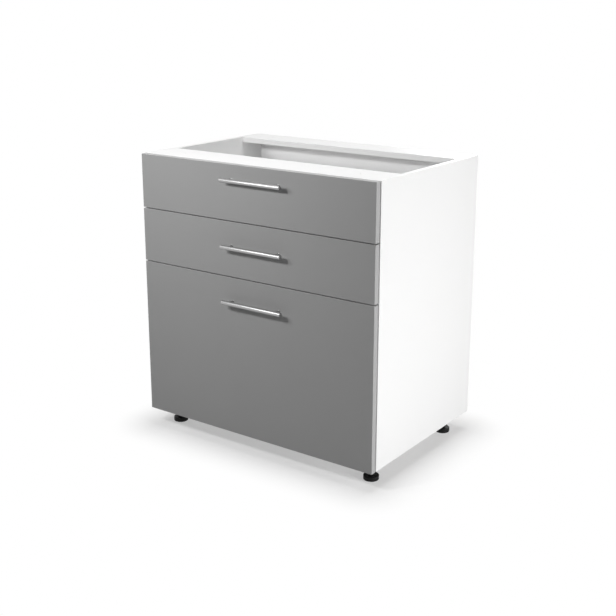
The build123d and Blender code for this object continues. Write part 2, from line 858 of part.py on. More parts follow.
def make_handle_screws(drawer):
    length = front_thickness + handle_screw_bite
    return [pan_screw((x, front_back_y, drawer.handle_z), (0, -1, 0), length,
                      handle_screw_radius, handle_screw_head_radius, handle_screw_head_height)
            for x in handle_post_xs()]


# ---- gallery of the deep drawer ----


def gallery_place(side):
    """Middle of a gallery rod, as (x, z)."""
    return inset_x(side, gallery_offset), deep_drawer.wall_top_z + gallery_rise


def gallery_ends():
    """Where a gallery rod starts and ends along the depth."""
    start = front_back_y + gallery_cap_length - gallery_socket_depth
    end = drawer_back_y - gallery_post_length + gallery_socket_depth
    return start, end


def make_gallery_rod(side):
    x, z = gallery_place(side)
    start, end = gallery_ends()
    return rod((x, start, z), (0, 1, 0), gallery_rod_radius, end - start)


def make_gallery_cap(side):
    """Cap on the inside of the deep front that holds the front end of a rod."""
    x, z = gallery_place(side)
    start, _ = gallery_ends()
    cap = rod((x, front_back_y, z), (0, 1, 0), gallery_cap_radius, gallery_cap_length)
    cap += rod((x, front_back_y, z), (0, -1, 0), gallery_spigot_radius, gallery_spigot_length)
    return cap - rod((x, start, z), (0, 1, 0), gallery_rod_radius + gallery_fit,
                     gallery_socket_depth)


def make_gallery_post(side):
    """Upright on the rear end of the drawer side that holds the other end of a rod."""
    x, z = gallery_place(side)
    _, end = gallery_ends()
    top_z = z + gallery_cap_radius
    y_span = (drawer_back_y - gallery_post_length, drawer_back_y)
    outer = inset_x(side, wall_inner - gallery_post_width)
    inner = inset_x(side, wall_inner)
    post = block((outer, inner), y_span, (deep_drawer.wall_top_z, top_z))
    ball = rod((x, y_span[0], z), (0, 1, 0), gallery_cap_radius, gallery_post_length)
    ball &= block((inset_x(side, bracket_side_room), inner), y_span, (z - gallery_cap_radius, top_z))
    post += ball
    return post - rod((x, y_span[0], z), (0, 1, 0), gallery_rod_radius + gallery_fit,
                      gallery_socket_depth)


def make_bumpers():
    """Soft discs between the fronts and the front edges of the sides."""
    discs = []
    for drawer in drawers:
        low_z = max(drawer.bottom_z, carcass_bottom_z) + bumper_corner
        for side in sides.values():
            for z in (low_z, drawer.top_z - bumper_corner):
                start = (side * (outer_x - board / 2), carcass_front_y, z)
                discs.append(rod(start, (0, -1, 0), bumper_radius, bumper_thickness))
    return discs


def main():
    os.makedirs("parts", exist_ok=True)
    fixings = board_fixings()
    for name, side in sides.items():
        save(f"side_panel_{name}", make_side_panel(side))
    save("bottom_panel", make_bottom_panel())
    save("front_top_rail", make_top_rail(front_rail_depth, True, fixings[2]))
    save("rear_top_rail", make_top_rail(rear_rail_depth, False, fixings[3]))
    save("back_panel", make_back_panel())
    save("back_panel_screws", *make_back_screws())
    joints = [(side, *fixing) for side in sides.values() for fixing in fixings]
    save("cam_bolts", *[cam_bolt(side, cam_y, z) for side, cam_y, _, z in joints])
    save("cam_housings", *[cam_housing(side, cam_y, z) for side, cam_y, _, z in joints])
    save("wood_dowels", *[dowel(side, dowel_y, z) for side, _, dowel_y, z in joints])
    feet = foot_places()
    save("leg_sockets", *[make_socket(x, y) for x, y in feet.values()])
    socket_screws = [screw for x, y in feet.values() for screw in make_socket_screws(x, y)]
    save("leg_socket_screws", *socket_screws)
    for name, (x, y) in feet.items():
        save(f"foot_pad_{name}", make_pad(x, y))
        save(f"foot_spindle_{name}", make_spindle(x, y))
    save("front_bumpers", *make_bumpers())
    runner_screws = []
    for drawer in drawers:
        name = drawer.name
        pair = list(sides.values())
        for side in pair:
            runner_screws += make_runner_screws(side, drawer)
        save(f"runner_channels_{name}", *[make_channel(side, drawer) for side in pair])
        front_z = drawer.runner_z + front_roller_height
        rear_z = drawer.runner_z + rear_roller_height
        save(f"front_rollers_{name}", *[make_roller(side, front_roller_y, front_z) for side in pair])
        save(f"rear_rollers_{name}", *[make_roller(side, rear_roller_y, rear_z) for side in pair])
        for side_name, side in sides.items():
            save(f"drawer_side_{side_name}_{name}", make_drawer_side(side, drawer))
        save(f"drawer_base_{name}", make_drawer_base(drawer))
        save(f"drawer_back_{name}", make_drawer_back(drawer))
        save(f"drawer_screws_{name}", *make_drawer_screws(drawer))
        save(f"front_brackets_{name}", *[make_front_bracket(side, drawer) for side in pair])
        save(f"front_panel_{name}", make_front_panel(drawer))
        save(f"handle_{name}", make_handle(drawer))
        save(f"handle_screws_{name}", *make_handle_screws(drawer))
    save("runner_screws", *runner_screws)
    save("gallery_rods", *[make_gallery_rod(side) for side in sides.values()])
    gallery = [make_gallery_cap(side) for side in sides.values()]
    gallery += [make_gallery_post(side) for side in sides.values()]
    save("gallery_brackets", *gallery)
    print("drawer travel", drawer_travel, "mm, total depth", total_depth, "mm")


main()
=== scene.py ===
import math

import bmesh
import bpy
import numpy as np
from mathutils import Matrix, Vector


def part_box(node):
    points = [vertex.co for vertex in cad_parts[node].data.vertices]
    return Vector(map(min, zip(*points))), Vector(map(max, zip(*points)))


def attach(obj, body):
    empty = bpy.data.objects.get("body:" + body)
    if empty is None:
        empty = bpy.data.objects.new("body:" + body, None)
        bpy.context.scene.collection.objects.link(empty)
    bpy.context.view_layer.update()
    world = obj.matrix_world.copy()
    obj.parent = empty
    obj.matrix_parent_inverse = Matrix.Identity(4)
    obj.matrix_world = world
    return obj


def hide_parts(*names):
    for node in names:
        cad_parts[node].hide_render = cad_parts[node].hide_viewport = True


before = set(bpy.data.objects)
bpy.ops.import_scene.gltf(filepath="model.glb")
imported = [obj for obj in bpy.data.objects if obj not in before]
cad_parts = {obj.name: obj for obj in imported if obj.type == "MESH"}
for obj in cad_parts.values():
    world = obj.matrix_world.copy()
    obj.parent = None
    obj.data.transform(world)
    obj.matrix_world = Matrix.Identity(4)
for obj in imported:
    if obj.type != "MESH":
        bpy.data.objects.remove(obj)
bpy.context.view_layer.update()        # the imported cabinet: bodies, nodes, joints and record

mm = 0.001
scene = bpy.context.scene
scene.view_settings.view_transform = "Standard"
drawerNames = ("top", "middle", "deep")
sideSigns = {"left": -1, "right": 1}
footNames = ("front_left", "front_right", "back_left", "back_right")


# A value that varies over a surface. It wraps a socket, and arithmetic on it adds Math nodes.
class Level:
    def __init__(self, graph, socket):
        self.graph = graph
        self.socket = socket

    def combine(self, operation, first, second):
        made = self.graph.node("ShaderNodeMath", {"operation": operation}, {0: first, 1: second})
        return Level(self.graph, made.outputs[0])

    def __add__(self, other):
        return self.combine("ADD", self, other)

    __radd__ = __add__

    def __sub__(self, other):
        return self.combine("SUBTRACT", self, other)

    def __rsub__(self, other):
        return self.combine("SUBTRACT", other, self)

    def __mul__(self, other):
        return self.combine("MULTIPLY", self, other)

    __rmul__ = __mul__

    def __abs__(self):
        return self.combine("ABSOLUTE", self, 0.0)

    # the value where it is above 0, and 0 below
    def aboveZero(self):
        return self.combine("MAXIMUM", self, 0.0)

    # a noise, which lies round 0.5, as a swing of this width round 0
    def swing(self, width):
        return (self - 0.5) * width


# A node tree that is filled from empty, for a material or for the world
class Graph:
    def __init__(self, owner):
        owner.use_nodes = True
        self.tree = owner.node_tree
        self.tree.nodes.clear()

    # any node: its type, the settings that are made first, and the values or links of its sockets
    def node(self, kind, settings=None, sockets=None):
        made = self.tree.nodes.new(kind)
        for name, value in (settings or {}).items():
            setattr(made, name, value)
        for name, value in (sockets or {}).items():
            self.feed(made.inputs[name], value)
        return made

    # links a socket to a level or to another socket, or sets it to a plain value or colour
    def feed(self, socket, value):
        if isinstance(value, Level):
            value = value.socket
        if isinstance(value, bpy.types.NodeSocket):
            self.tree.links.new(value, socket)
        elif isinstance(value, tuple) and len(value) == 3 and socket.type == "RGBA":
            socket.default_value = (*value, 1.0)
        else:
            socket.default_value = value

    # 0 before the first limit, 1 past the second, smooth between; the first may be the higher
    def ease(self, value, start, end):
        made = self.node("ShaderNodeMapRange", {"interpolation_type": "SMOOTHSTEP"}, {
            "Value": value, "From Min": start, "From Max": end})
        return Level(self, made.outputs[0])

    # 1 for rays of one kind: Camera, Glossy, Transmission or Diffuse
    def rays(self, kind):
        return Level(self, self.node("ShaderNodeLightPath").outputs[f"Is {kind} Ray"])

    # 1 for rays that see the backdrop, straight from the camera or by way of a shine or a glass
    def seenRays(self):
        seen = self.rays("Camera") + self.rays("Glossy") + self.rays("Transmission")
        return self.ease(seen, 0.2, 0.8)  # a sum past 1 is held at 1


# One material, with its shader and the short ways of adding varied values to it. A name of a
# socket is written here with _ for each space.
class Finish(Graph):
    def __init__(self, name, **constants):
        self.material = bpy.data.materials.new(name)
        super().__init__(self.material)
        self.shader = self.node("ShaderNodeBsdfPrincipled")
        self.wear(**constants)
        self.out = self.node("ShaderNodeOutputMaterial", {}, {"Surface": self.shader.outputs[0]})
        self.place = self.node("ShaderNodeTexCoord")

    # the parts of the Object place or of the Normal, by their axes
    def axes(self, source):
        parts = self.node("ShaderNodeSeparateXYZ", {}, {0: self.place.outputs[source]})
        return {axis: Level(self, output) for axis, output in zip("xyz", parts.outputs)}

    # Object coordinates, stretched by one factor along each axis
    def stretched(self, factors):
        mapping = self.node("ShaderNodeMapping", {}, {"Vector": self.place.outputs["Object"],
                                                      "Scale": factors})
        return mapping.outputs[0]

    def noise(self, scale, detail, stretch=(1, 1, 1)):
        made = self.node("ShaderNodeTexNoise", {}, {
            "Vector": self.stretched(stretch), "Scale": scale, "Detail": detail})
        return Level(self, made.outputs[0])

    def cells(self, scale, output, stretch=(1, 1, 1)):
        made = self.node("ShaderNodeTexVoronoi", {}, {
            "Vector": self.stretched(stretch), "Scale": scale})
        return Level(self, made.outputs[output])

    # from the first colour at share 0 to the second at share 1
    def mix(self, share, first, second):
        made = self.node("ShaderNodeMix", {"data_type": "RGBA"}, {0: share, 6: first, 7: second})
        return made.outputs[2]

    def bump(self, height, depth):
        made = self.node("ShaderNodeBump", {}, {"Height": height, "Distance": depth})
        self.wear(Normal=made.outputs[0])

    def wear(self, **values):
        for name, value in values.items():
            self.feed(self.shader.inputs[name.replace("_", " ")], value)
        return self.material


def grey(value):
    return (value, value, value)


# Finishes. A noise is written as its scale and detail, and its stretch where it has one. Limits
# are the values at which a mask is 0 and 1. A swing is the width by which a noise varies a value.
laminate = {"specular": 0.2, "tone": 0.317, "mottle": 0.012, "cloud": (6.0, 3.0),
            "speck": (1400.0, 2.0), "speckLimits": (0.55, 0.75), "speckShare": 0.02,
            "speckTone": 0.55, "edgeTone": 0.40, "edgeLimits": (0.98, 0.93),
            "wave": (420.0, 2.0), "waveShare": 0.3, "depth": 0.00003,
            "rough": 0.46, "sheen": (60.0, 3.0), "sheenSwing": 0.08, "edgeGloss": 0.06}


# Grey film with fine darker specks, and paler strips glued on where the surface turns away from
# the front and the back
def greyLaminate():
    film = laminate
    made = Finish("greyLaminate", Specular_IOR_Level=film["specular"])
    tone, mottle = film["tone"], film["mottle"]
    speck = made.noise(*film["speck"])
    face = made.mix(made.noise(*film["cloud"]), grey(tone * (1 - mottle)),
                    grey(tone * (1 + mottle)))
    face = made.mix(made.ease(speck, *film["speckLimits"]) * film["speckShare"], face,
                    grey(tone * film["speckTone"]))
    strip = made.ease(abs(made.axes("Normal")["y"]), *film["edgeLimits"])
    colour = made.mix(strip, face, grey(film["edgeTone"]))
    share = film["waveShare"]
    made.bump(speck * (1 - share) + made.noise(*film["wave"]) * share, film["depth"])
    rough = (film["rough"] + made.noise(*film["sheen"]).swing(film["sheenSwing"])
             - strip * film["edgeGloss"])
    return made.wear(Base_Color=colour, Roughness=rough)


chipboard = {"dark": (0.33, 0.22, 0.13), "light": (0.62, 0.47, 0.31), "limits": (0.2, 0.85),
             "flakeScale": 520.0, "flakeStretch": (1.0, 0.45, 1.0), "flakeShare": 0.6,
             "fine": (1300.0, 3.0), "fineShare": 0.5, "grit": (700.0, 3.0), "gritHeight": 6.0,
             "extraRough": 0.4, "underLimits": (-0.7, -0.85), "behindLimits": (0.7, 0.85)}


def chipColour(made):
    flakes = made.cells(chipboard["flakeScale"], "Color", chipboard["flakeStretch"])
    mark = (flakes * chipboard["flakeShare"]
            + made.noise(*chipboard["fine"]) * chipboard["fineShare"])
    return made.mix(made.ease(mark, *chipboard["limits"]), chipboard["dark"], chipboard["light"])


melamine = {"specular": 0.4, "tone": 0.86, "warm": (0.86, 0.86, 0.855), "cloud": (4.0, 2.0),
            "speck": (2200.0, 1.0), "speckLimits": (0.6, 0.8), "speckShare": 0.05,
            "speckTone": 0.668, "pearl": (900.0, 2.0), "depth": 0.00002,
            "rough": 0.38, "sheen": (35.0, 3.0), "sheenSwing": 0.1}


# White film. With raw edges the chipboard shows on the undersides and on the edges at the back.
def whiteMelamine(name, rawEdges=False):
    film = melamine
    made = Finish(name, Specular_IOR_Level=film["specular"])
    colour = made.mix(made.noise(*film["cloud"]), film["warm"], grey(film["tone"]))
    speck = made.ease(made.noise(*film["speck"]), *film["speckLimits"])
    colour = made.mix(speck * film["speckShare"], colour, grey(film["speckTone"]))
    rough = film["rough"] + made.noise(*film["sheen"]).swing(film["sheenSwing"])
    height = made.noise(*film["pearl"])
    if rawEdges:
        chip = chipboard
        facing = made.axes("Normal")
        raw = (made.ease(facing["z"], *chip["underLimits"])
               + made.ease(facing["y"], *chip["behindLimits"]))
        colour = made.mix(raw, colour, chipColour(made))
        rough = rough + raw * chip["extraRough"]
        height = height + raw * made.noise(*chip["grit"]) * chip["gritHeight"]
    made.bump(height, film["depth"])
    return made.wear(Base_Color=colour, Roughness=rough)


hardboard = {"specular": 0.35, "brown": (0.36, 0.24, 0.14), "pale": (0.50, 0.36, 0.23),
             "fibre": (700.0, 4.0, (1.0, 1.0, 0.6)), "fibreShare": 0.6,
             "patch": (9.0, 3.0), "patchShare": 0.4,
             "fleck": (260.0, 3.0, (1.0, 1.0, 0.3)), "fleckLimits": (0.64, 0.72),
             "fleckShare": 0.5, "fleckTone": 0.12, "paintLimits": (-0.6, -0.8),
             "paintTones": (0.89, 0.91), "depth": 0.00005,
             "rough": 0.72, "paintGloss": 0.3, "fibreSwing": 0.15}


# Brown fibres with dark flecks, and white paint on the side that faces into the cabinet
def whiteHardboard():
    board = hardboard
    made = Finish("whiteHardboard", Specular_IOR_Level=board["specular"])
    painted = made.ease(made.axes("Normal")["y"], *board["paintLimits"])
    fibre, patch = made.noise(*board["fibre"]), made.noise(*board["patch"])
    brown = made.mix(fibre * board["fibreShare"] + patch * board["patchShare"], board["brown"],
                     board["pale"])
    fleck = made.ease(made.noise(*board["fleck"]), *board["fleckLimits"])
    brown = made.mix(fleck * board["fleckShare"], brown, grey(board["fleckTone"]))
    dull, bright = board["paintTones"]
    colour = made.mix(painted, brown, made.mix(patch, grey(dull), grey(bright)))
    made.bump(fibre, board["depth"])
    rough = board["rough"] - painted * board["paintGloss"] + fibre.swing(board["fibreSwing"])
    return made.wear(Base_Color=colour, Roughness=rough)


brushed = {"tone": 0.41, "dark": 0.30, "line": (9000.0, 2.0, (0.006, 1.0, 1.0)),
           "lineShare": 0.6, "broad": (1600.0, 3.0, (0.01, 1.0, 1.0)), "broadShare": 0.4,
           "depth": 0.00001, "rough": 0.29, "markRough": 0.12}


# Steel with brush marks along x
def brushedSteel():
    made = Finish("brushedSteel", Metallic=1.0)
    mark = (made.noise(*brushed["line"]) * brushed["lineShare"]
            + made.noise(*brushed["broad"]) * brushed["broadShare"])
    made.bump(mark, brushed["depth"])
    return made.wear(Base_Color=made.mix(mark, grey(brushed["dark"]), grey(brushed["tone"])),
                     Roughness=brushed["rough"] + mark * brushed["markRough"])


zinc = {"cool": (0.48, 0.50, 0.53), "dull": (0.35, 0.36, 0.38), "spangleScale": 260.0,
        "spangleShare": 0.5, "stain": (90.0, 4.0), "stainShare": 0.5, "grain": (1500.0, 2.0),
        "depth": 0.00001, "rough": 0.3, "stainRough": 0.18}


def zincPlate():
    made = Finish("zincPlate", Metallic=1.0)
    stain = made.noise(*zinc["stain"])
    mark = (made.cells(zinc["spangleScale"], "Color") * zinc["spangleShare"]
            + stain * zinc["stainShare"])
    made.bump(made.noise(*zinc["grain"]), zinc["depth"])
    return made.wear(Base_Color=made.mix(mark, zinc["dull"], zinc["cool"]),
                     Roughness=zinc["rough"] + stain * zinc["stainRough"])


powder = {"specular": 0.5, "tone": 0.74, "shade": 0.71, "cloud": (14.0, 2.0),
          "peel": (650.0, 2.0), "depth": 0.00006, "rough": 0.34, "sheen": (120.0, 2.0),
          "sheenSwing": 0.12}


def powderCoat():
    coat = powder
    made = Finish("powderCoat", Specular_IOR_Level=coat["specular"])
    made.bump(made.noise(*coat["peel"]), coat["depth"])
    return made.wear(
        Base_Color=made.mix(made.noise(*coat["cloud"]), grey(coat["shade"]), grey(coat["tone"])),
        Roughness=coat["rough"] + made.noise(*coat["sheen"]).swing(coat["sheenSwing"]))


moulded = {"specular": 0.2, "tone": 0.005, "dustTone": 0.018, "dustShare": 0.6,
           "dust": (160.0, 4.0), "dustLimits": (0.4, 0.75), "upLimits": (0.5, 0.95),
           "leatherScale": 1500.0, "depth": 0.00008, "rough": 0.52, "dustRough": 0.2,
           "sheen": (300.0, 2.0), "sheenSwing": 0.1}


# Black plastic with a leather grain, and dust where it faces up
def blackPlastic():
    plastic = moulded
    made = Finish("blackPlastic", Specular_IOR_Level=plastic["specular"])
    dust = (made.ease(made.axes("Normal")["z"], *plastic["upLimits"])
            * made.ease(made.noise(*plastic["dust"]), *plastic["dustLimits"]))
    colour = made.mix(dust * plastic["dustShare"], grey(plastic["tone"]),
                      grey(plastic["dustTone"]))
    made.bump(made.cells(plastic["leatherScale"], "Distance"), plastic["depth"])
    rough = (plastic["rough"] + dust * plastic["dustRough"]
             + made.noise(*plastic["sheen"]).swing(plastic["sheenSwing"]))
    return made.wear(Base_Color=colour, Roughness=rough)


nylon = {"specular": 0.45, "flow": (110.0, 3.0), "grain": (1800.0, 2.0), "depth": 0.00002,
         "rough": 0.36, "flowSwing": 0.15,
         "tones": {"rollerNylon": ((0.72, 0.71, 0.67), (0.80, 0.79, 0.75)),
                   "whitePlastic": (grey(0.76), grey(0.80)),
                   "softBumper": ((0.62, 0.63, 0.61), (0.72, 0.73, 0.71))}}


def paleNylon(name):
    made = Finish(name, Specular_IOR_Level=nylon["specular"])
    flow = made.noise(*nylon["flow"])
    made.bump(made.noise(*nylon["grain"]), nylon["depth"])
    return made.wear(Base_Color=made.mix(flow, *nylon["tones"][name]),
                     Roughness=nylon["rough"] + flow.swing(nylon["flowSwing"]))


beech = {"specular": 0.3, "dark": (0.52, 0.32, 0.18), "pale": (0.66, 0.46, 0.29),
         "grain": (900.0, 4.0, (0.05, 1.0, 1.0)), "pores": (2600.0, 2.0, (0.04, 1.0, 1.0)),
         "poreLimits": (0.58, 0.7), "poreShare": 0.5, "poreColour": (0.30, 0.17, 0.09),
         "depth": 0.00008, "rough": 0.6, "grainSwing": 0.2}


# Wood with its grain and its short dark pores along x
def beechWood():
    made = Finish("beechWood", Specular_IOR_Level=beech["specular"])
    grain = made.noise(*beech["grain"])
    pores = made.ease(made.noise(*beech["pores"]), *beech["poreLimits"])
    colour = made.mix(pores * beech["poreShare"],
                      made.mix(grain, beech["dark"], beech["pale"]), beech["poreColour"])
    made.bump(grain, beech["depth"])
    rough = beech["rough"] + grain.swing(beech["grainSwing"])
    return made.wear(Base_Color=colour, Roughness=rough)


finishes = {
    "greyFront": greyLaminate(),
    "whiteSide": whiteMelamine("whiteSide", rawEdges=True),
    "whiteBoard": whiteMelamine("whiteBoard"),
    "drawerBoard": whiteMelamine("drawerBoard"),
    "hardboard": whiteHardboard(),
    "handleSteel": brushedSteel(),
    "zincSteel": zincPlate(),
    "whiteSteel": powderCoat(),
    "blackPlastic": blackPlastic(),
    "rollerNylon": paleNylon("rollerNylon"),
    "whitePlastic": paleNylon("whitePlastic"),
    "softBumper": paleNylon("softBumper"),
    "beech": beechWood(),
}

nodeFinish = {
    "side_panel_left": "whiteSide", "side_panel_right": "whiteSide",
    "bottom_panel": "whiteBoard", "front_top_rail": "whiteBoard", "rear_top_rail": "whiteBoard",
    "back_panel": "hardboard", "back_panel_screws": "zincSteel", "cam_bolts": "zincSteel",
    "cam_housings": "zincSteel", "wood_dowels": "beech", "leg_sockets": "blackPlastic",
    "leg_socket_screws": "zincSteel", "front_bumpers": "softBumper",
    "runner_screws": "zincSteel", "gallery_rods": "whiteSteel",
    "gallery_brackets": "whitePlastic",
}
for drawer in drawerNames:
    nodeFinish[f"front_panel_{drawer}"] = "greyFront"
    nodeFinish[f"handle_{drawer}"] = "handleSteel"
    nodeFinish[f"handle_screws_{drawer}"] = "zincSteel"
    nodeFinish[f"drawer_screws_{drawer}"] = "zincSteel"
    nodeFinish[f"front_brackets_{drawer}"] = "zincSteel"
    nodeFinish[f"drawer_base_{drawer}"] = "drawerBoard"
    nodeFinish[f"drawer_back_{drawer}"] = "drawerBoard"
    nodeFinish[f"runner_channels_{drawer}"] = "whiteSteel"
    nodeFinish[f"front_rollers_{drawer}"] = "rollerNylon"
    nodeFinish[f"rear_rollers_{drawer}"] = "rollerNylon"
    for side in sideSigns:
        nodeFinish[f"drawer_side_{side}_{drawer}"] = "whiteSteel"
for foot in footNames:
    nodeFinish[f"foot_pad_{foot}"] = "blackPlastic"
    nodeFinish[f"foot_spindle_{foot}"] = "blackPlastic"
for name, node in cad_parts.items():
    node.data.materials.clear()
    node.data.materials.append(finishes[nodeFinish[name]])
print("finishes:", len(finishes), "on", len(nodeFinish), "nodes")


# Rings of points into a closed shell. Row i is a ring round the axis, and each row is joined to
# the next. A loop of rows also joins the last to the first; otherwise both ends are closed flat.
def ringShell(rings, loop):
    rows, steps = rings.shape[:2]
    here = np.arange(rows * steps).reshape(rows, steps)
    beside = np.roll(here, -1, axis=1)
    above, aboveBeside = np.roll(here, -1, axis=0), np.roll(beside, -1, axis=0)
    quads = np.stack([here, beside, aboveBeside, above], axis=-1)
    faces = (quads if loop else quads[:-1]).reshape(-1, 4).tolist()
    if not loop:
        faces.append(here[0][::-1].tolist())
        faces.append(here[-1].tolist())
    return rings.reshape(-1, 3), faces


# The angles of a full turn in even steps
def turnSteps(steps):
    return np.linspace(0, 2 * math.pi, steps, endpoint=False)


# Turned shape: a point is centre + radius (cos a * u + sin a * v) + along * axis, where the
# radius may also change with the angle a.
def turned(centre, axis, radii, along, steps, loop=False):
    w = np.array(axis, float)
    u = np.roll(w, 1)
    v = np.cross(w, u)
    angle = turnSteps(steps)
    ring = np.cos(angle)[:, None] * u + np.sin(angle)[:, None] * v
    radii = np.asarray(radii, float)
    if radii.ndim == 1:
        radii = np.repeat(radii[:, None], steps, axis=1)
    rings = np.array(centre) + radii[..., None] * ring + np.asarray(along)[:, None, None] * w
    return ringShell(rings * mm, loop)


# Part of a circle from one angle to another: the radius is centreRadius + size * cos of the angle
# and the height centreHeight + size * sin of it
def quarter(centreRadius, centreHeight, size, start, end, count=6):
    turn = np.radians(np.linspace(start, end, count))
    return centreRadius + size * np.cos(turn), centreHeight + size * np.sin(turn)


# Line through the corners with an arc of one radius at each, and its unit normal at each point:
# on an arc the normal is the first side's normal, turned by a growing share of the corner.
def bentLine(corners, radius, count=7):
    corners = np.array(corners, float)
    ways = np.diff(corners, axis=0)
    ways /= np.linalg.norm(ways, axis=1)[:, None]
    points, normals = [corners[0]], [np.array([-ways[0][1], ways[0][0]])]
    for corner, before, after in zip(corners[1:-1], ways[:-1], ways[1:]):
        turn = math.atan2(before[0] * after[1] - before[1] * after[0], float(before @ after))
        hand = math.copysign(1.0, turn)
        normal = np.array([-before[1], before[0]])
        start = corner - before * radius * math.tan(abs(turn) / 2)
        centre = start + hand * radius * normal
        swing = np.linspace(0, turn, count)
        arc = np.stack([np.cos(swing) * normal[0] - np.sin(swing) * normal[1],
                        np.sin(swing) * normal[0] + np.cos(swing) * normal[1]], axis=1)
        points.extend(centre - hand * radius * arc)
        normals.extend(arc)
    points.append(corners[-1])
    normals.append(np.array([-ways[-1][1], ways[-1][0]]))
    return np.array(points), np.array(normals)


# Folded sheet: the bent line moved half the thickness to either side, carried straight from one
# end to the other. layout puts (across, up, along) onto x, y and z.
def folded(corners, thickness, radius, span, layout):
    line, normal = bentLine(corners, radius)
    offset = normal * thickness / 2
    section = np.concatenate([line + offset, (line - offset)[::-1]])
    count, half = len(section), len(line)
    points = np.concatenate([np.column_stack([section, np.full(count, end)]) for end in span])
    placed = np.empty_like(points)
    placed[:, list(layout)] = points
    rim = np.arange(count)
    sides = np.stack([rim, np.roll(rim, -1), np.roll(rim, -1) + count, rim + count], axis=1)
    left = np.arange(half - 1)
    cap = np.stack([left, left + 1, count - 2 - left, count - 1 - left], axis=1)
    return placed * mm, np.concatenate([sides, cap, cap + count]).tolist()


# One piece from several closed shells, with its normals outwards, riding on its body. Edges
# sharper than the crease, in degrees, are shaded sharp.
def makePiece(name, shells, finish, body, replaced, crease=32):
    starts = np.cumsum([0] + [len(points) for points, faces in shells])
    everyFace = [[index + start for index in face]
                 for start, (points, faces) in zip(starts.tolist(), shells) for face in faces]
    mesh = bpy.data.meshes.new(name)
    mesh.from_pydata(np.concatenate([points for points, faces in shells]).tolist(), [], everyFace)
    made = bmesh.new()
    made.from_mesh(mesh)
    bmesh.ops.recalc_face_normals(made, faces=made.faces[:])
    made.to_mesh(mesh)
    made.free()
    mesh.materials.append(finishes[finish])
    mesh.shade_smooth()
    mesh.set_sharp_from_angle(angle=math.radians(crease))
    piece = bpy.data.objects.new(name, mesh)
    scene.collection.objects.link(piece)
    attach(piece, body)
    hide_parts(*replaced)


# The two corners of a CAD node's box and its middle, in millimetres
def boxOf(node):
    low, high = (np.array(corner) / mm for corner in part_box(node))
    return low, high, (low + high) / 2


# Sizes from here on are in millimetres
barHandle = {"radius": 6.0, "endRound": 0.8, "steps": 64, "postRadius": 4.0,
             "postCentres": 160.0, "footRadius": 5.2, "footHeight": 1.2, "footRound": 0.4,
             "postSteps": 40}


# Bar handle: a bar turned about x, with a quarter circle at each end, and two posts turned about
# y, each with a wider foot, rounded by a quarter circle, on the front
def makeHandles():
    bar = barHandle
    rounding, footRound = bar["endRound"], bar["footRound"]
    footRadii, footRise = quarter(bar["footRadius"] - footRound, bar["footHeight"] - footRound,
                                  footRound, 0, 90, count=4)
    postRadii = np.concatenate([[bar["footRadius"]], footRadii, [bar["postRadius"]] * 2])
    for drawer in drawerNames:
        low, high, (x, _, z) = boxOf(f"handle_{drawer}")
        y = low[1] + bar["radius"]
        half = (high[0] - low[0]) / 2 - rounding
        narrow = bar["radius"] - rounding
        leftRadii, leftAlong = quarter(narrow, -half, rounding, -90, 0)
        rightRadii, rightAlong = quarter(narrow, half, rounding, 0, 90)
        shells = [turned((x, y, z), (1, 0, 0), np.concatenate([leftRadii, rightRadii]),
                         np.concatenate([leftAlong, rightAlong]), bar["steps"])]
        along = np.concatenate([[0.0], footRise, [bar["footHeight"], high[1] - y]])
        for side in sideSigns.values():
            start = (x + side * bar["postCentres"] / 2, high[1], z)
            shells.append(turned(start, (0, -1, 0), postRadii, along, bar["postSteps"]))
        makePiece(f"barHandle_{drawer}", shells, "handleSteel", f"drawer_{drawer}",
                  [f"handle_{drawer}"])
    print("bar handles made")


footPad = {"lowerRound": 2.5, "upperRound": 1.5, "plainRim": 0.8, "flutes": 36,
           "stepsPerFlute": 6, "fluteDepth": 0.35, "groove": (14.6, 16.4), "grooveDepth": 0.6,
           "grooveSlope": 0.6, "recess": 11.5, "collar": 9.9, "recessDepth": 0.3,
           "bore": 4.1, "snapBore": 5.3, "ledge": 6.5}
footSpindle = {"steps": 48, "snap": 5.0, "snapLow": 3.7, "snapHigh": 6.2, "snapTaper": (0.4, 0.8),
               "tail": 4.0, "hexagon": 9.8, "hexLow": 13.1, "hexHigh": 20.8, "chamfer": 1.1,
               "chamferSlope": 0.6, "thread": 5.0, "depth": 0.7, "lead": 4.0, "rowsPerTurn": 16,
               "crest": 2.4, "valley": 0.2, "fadeIn": (2.0, 0.1), "fadeOut": (1.5, 0.2)}
footCrease = 28


